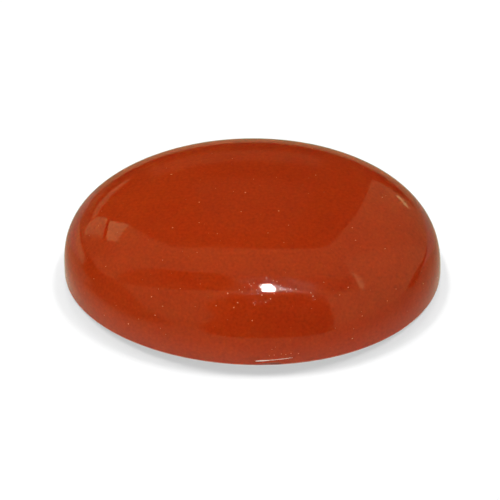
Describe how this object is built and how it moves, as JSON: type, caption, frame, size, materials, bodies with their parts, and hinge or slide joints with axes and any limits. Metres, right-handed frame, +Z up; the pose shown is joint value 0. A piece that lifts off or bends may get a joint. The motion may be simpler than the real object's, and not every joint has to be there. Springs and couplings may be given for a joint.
{
  "type": "carnelian cabochon",
  "caption": "Oval polished carnelian with a high smooth dome, a thin bevelled girdle and a flat back that it rests on or is set by.",
  "frame": {"origin": "middle of the oval outline on the flat back, at the bottom of the stone", "axes": "+X along the long axis towards the slightly wider end, +Y across the stone, +Z up out of the flat back to the dome's peak"},
  "size_m": [0.018, 0.013, 0.0045],
  "materials": {
    "polished_carnelian": "high polish over translucent orange-red chalcedony, with tiny pits"
  },
  "bodies": {
    "root": {"carnelian": "polished_carnelian"}
  },
  "joints": []
}
